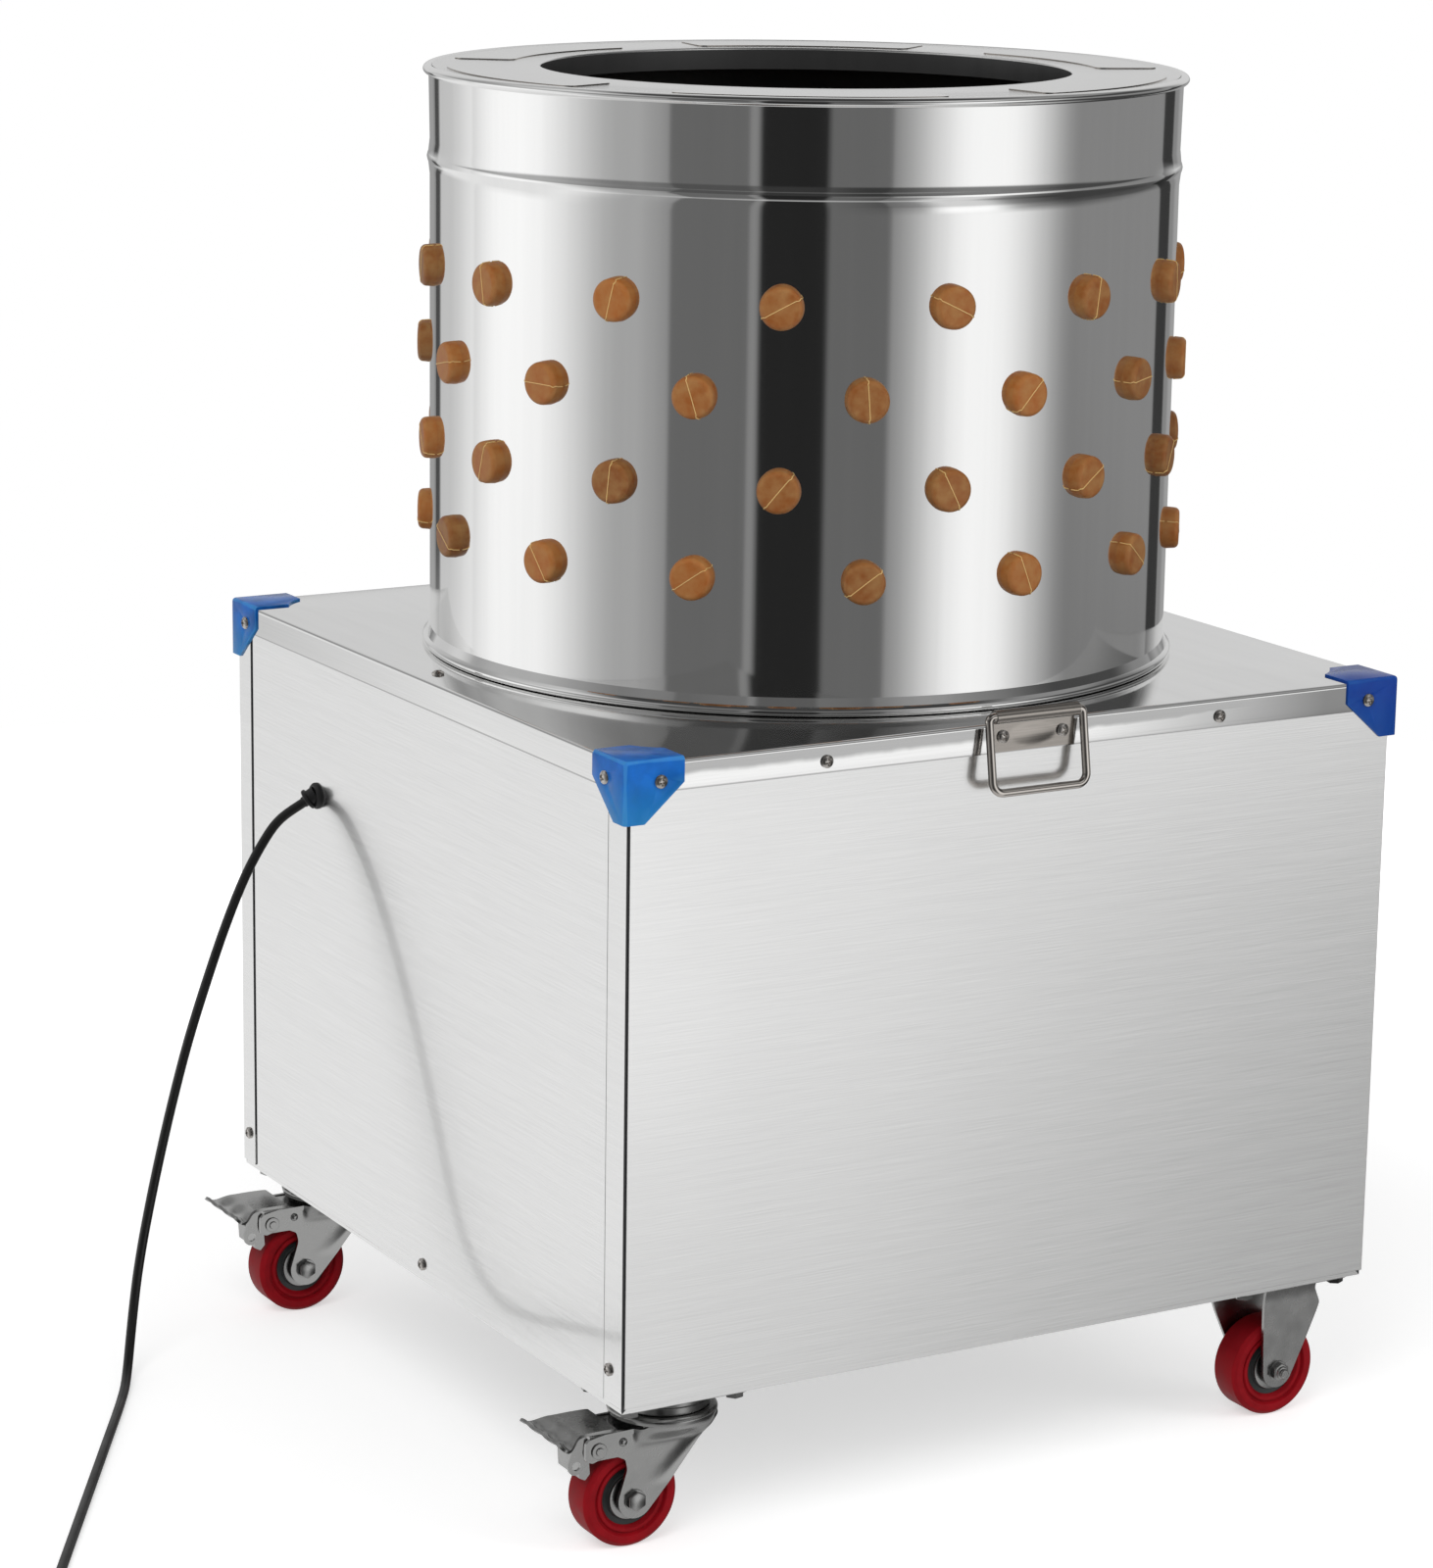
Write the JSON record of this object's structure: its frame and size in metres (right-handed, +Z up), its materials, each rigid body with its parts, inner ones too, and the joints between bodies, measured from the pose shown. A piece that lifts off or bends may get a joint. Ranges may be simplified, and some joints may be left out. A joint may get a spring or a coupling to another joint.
{
  "type": "poultry plucker",
  "caption": "Drum poultry plucker: finger-lined steel drum with a spinning floor on a belt-driven, sheet-steel cabinet with castors, bail handles and a mains cord.",
  "frame": {"origin": "on the floor, under the drum's axis, at the middle of the object's box without the cord", "axes": "+X to the right along the front panel, -Y towards the front, +Z up along the drum's axis"},
  "size_m": [1.2565, 0.7296, 1.0866],
  "materials": {
    "brushed_steel": "fine horizontal brushing",
    "polished_steel": "bright rolled stainless steel",
    "zinc_steel": "zinc-plated pressed steel",
    "screw_steel": "bright plated screws",
    "blue_plastic": "glossy moulded plastic",
    "finger_rubber": "tan natural rubber with a moulding line",
    "cast_iron": "machined cast iron",
    "motor_paint": "dark enamel",
    "belt_rubber": "black rubber belt",
    "black_plastic": "moulded plastic",
    "cord_rubber": "black cord sheath",
    "green_plastic": "moulded button cap",
    "red_plastic": "moulded button cap",
    "red_tyre": "cast polyurethane tread"
  },
  "bodies": {
    "cabinet": {"front_panel": "brushed_steel", "back_panel": "brushed_steel", "left_panel": "brushed_steel", "right_panel": "brushed_steel", "feather_tray": "brushed_steel", "top_plate": "polished_steel", "drum_shell": "polished_steel", "drum_top_ring": "polished_steel", "handle_plate_front": "polished_steel", "handle_plate_back": "polished_steel", "base_frame": "zinc_steel", "bearing_bridge": "zinc_steel", "motor_plate": "zinc_steel", "swivel_plates": "zinc_steel", "rigid_fork_front_right": "zinc_steel", "rigid_fork_back_right": "zinc_steel", "rigid_axles": "zinc_steel", "castor_bolts": "zinc_steel", "sheet_screws": "screw_steel", "corner_guard_front_left": "blue_plastic", "corner_guard_front_right": "blue_plastic", "corner_guard_back_left": "blue_plastic", "corner_guard_back_right": "blue_plastic", "drum_fingers_1": "finger_rubber", "drum_fingers_2": "finger_rubber", "drum_fingers_3": "finger_rubber", "drum_fingers_4": "finger_rubber", "shaft_bearings": "cast_iron", "motor_body": "motor_paint", "v_belt": "belt_rubber", "switch_box": "black_plastic", "cord_gland": "black_plastic", "cord_plug": "black_plastic", "cord_lead": "cord_rubber", "cord_coil": "cord_rubber"},
    "turntable": {"feather_disc": "polished_steel", "disc_fingers": "finger_rubber", "disc_hub": "cast_iron", "drive_shaft": "zinc_steel", "drive_pulley": "cast_iron"},
    "motor_rotor": {"motor_shaft": "zinc_steel", "motor_pulley": "cast_iron"},
    "front_bail": {"handle_bail_front": "polished_steel"},
    "back_bail": {"handle_bail_back": "polished_steel"},
    "front_left_fork": {"castor_fork_front_left": "zinc_steel", "castor_axle_front_left": "zinc_steel"},
    "back_left_fork": {"castor_fork_back_left": "zinc_steel", "castor_axle_back_left": "zinc_steel"},
    "front_left_wheel": {"tyre_front_left": "red_tyre", "hub_front_left": "black_plastic"},
    "back_left_wheel": {"tyre_back_left": "red_tyre", "hub_back_left": "black_plastic"},
    "front_right_wheel": {"tyre_front_right": "red_tyre", "hub_front_right": "black_plastic"},
    "back_right_wheel": {"tyre_back_right": "red_tyre", "hub_back_right": "black_plastic"},
    "front_left_pedal": {"brake_pedal_front_left": "zinc_steel"},
    "back_left_pedal": {"brake_pedal_back_left": "zinc_steel"},
    "start_key": {"start_button": "green_plastic"},
    "stop_key": {"stop_button": "red_plastic"}
  },
  "joints": [
    {"name": "turntable_spin", "type": "hinge", "parent": "cabinet", "child": "turntable", "pos_m": [0, 0, 0.6085], "axis": [0, 0, 1], "continuous": true},
    {"name": "motor_spin", "type": "hinge", "parent": "cabinet", "child": "motor_rotor", "pos_m": [0, -0.205, 0.3085], "axis": [0, 0, 1], "continuous": true},
    {"name": "front_bail_swing", "type": "hinge", "parent": "cabinet", "child": "front_bail", "pos_m": [0.003, -0.35245, 0.62715], "axis": [-1, 0, 0], "range_deg": [0, 100]},
    {"name": "back_bail_swing", "type": "hinge", "parent": "cabinet", "child": "back_bail", "pos_m": [0.003, 0.35245, 0.62715], "axis": [1, 0, 0], "range_deg": [0, 100]},
    {"name": "front_left_swivel", "type": "hinge", "parent": "cabinet", "child": "front_left_fork", "pos_m": [-0.284, -0.298, 0.1055], "axis": [0, 0, 1], "continuous": true},
    {"name": "front_left_roll", "type": "hinge", "parent": "front_left_fork", "child": "front_left_wheel", "pos_m": [-0.318, -0.298, 0.04], "axis": [0, 1, 0], "continuous": true},
    {"name": "front_left_brake", "type": "hinge", "parent": "front_left_fork", "child": "front_left_pedal", "pos_m": [-0.35, -0.298, 0.0855], "axis": [0, -1, 0], "range_deg": [0, 13]},
    {"name": "front_right_roll", "type": "hinge", "parent": "cabinet", "child": "front_right_wheel", "pos_m": [0.284, -0.298, 0.04], "axis": [0, 1, 0], "continuous": true},
    {"name": "back_left_swivel", "type": "hinge", "parent": "cabinet", "child": "back_left_fork", "pos_m": [-0.284, 0.298, 0.1055], "axis": [0, 0, 1], "continuous": true},
    {"name": "back_left_roll", "type": "hinge", "parent": "back_left_fork", "child": "back_left_wheel", "pos_m": [-0.318, 0.298, 0.04], "axis": [0, 1, 0], "continuous": true},
    {"name": "back_left_brake", "type": "hinge", "parent": "back_left_fork", "child": "back_left_pedal", "pos_m": [-0.35, 0.298, 0.0855], "axis": [0, -1, 0], "range_deg": [0, 13]},
    {"name": "back_right_roll", "type": "hinge", "parent": "cabinet", "child": "back_right_wheel", "pos_m": [0.284, 0.298, 0.04], "axis": [0, 1, 0], "continuous": true},
    {"name": "start_press", "type": "slide", "parent": "cabinet", "child": "start_key", "axis": [-1, 0, 0], "range_m": [0, 0.004], "stiffness_N_per_m": 600},
    {"name": "stop_press", "type": "slide", "parent": "cabinet", "child": "stop_key", "axis": [-1, 0, 0], "range_m": [0, 0.004], "stiffness_N_per_m": 600}
  ],
  "couplings": [
    {"joint": "motor_spin", "follows": "turntable_spin", "ratio": 4.2881}
  ]
}
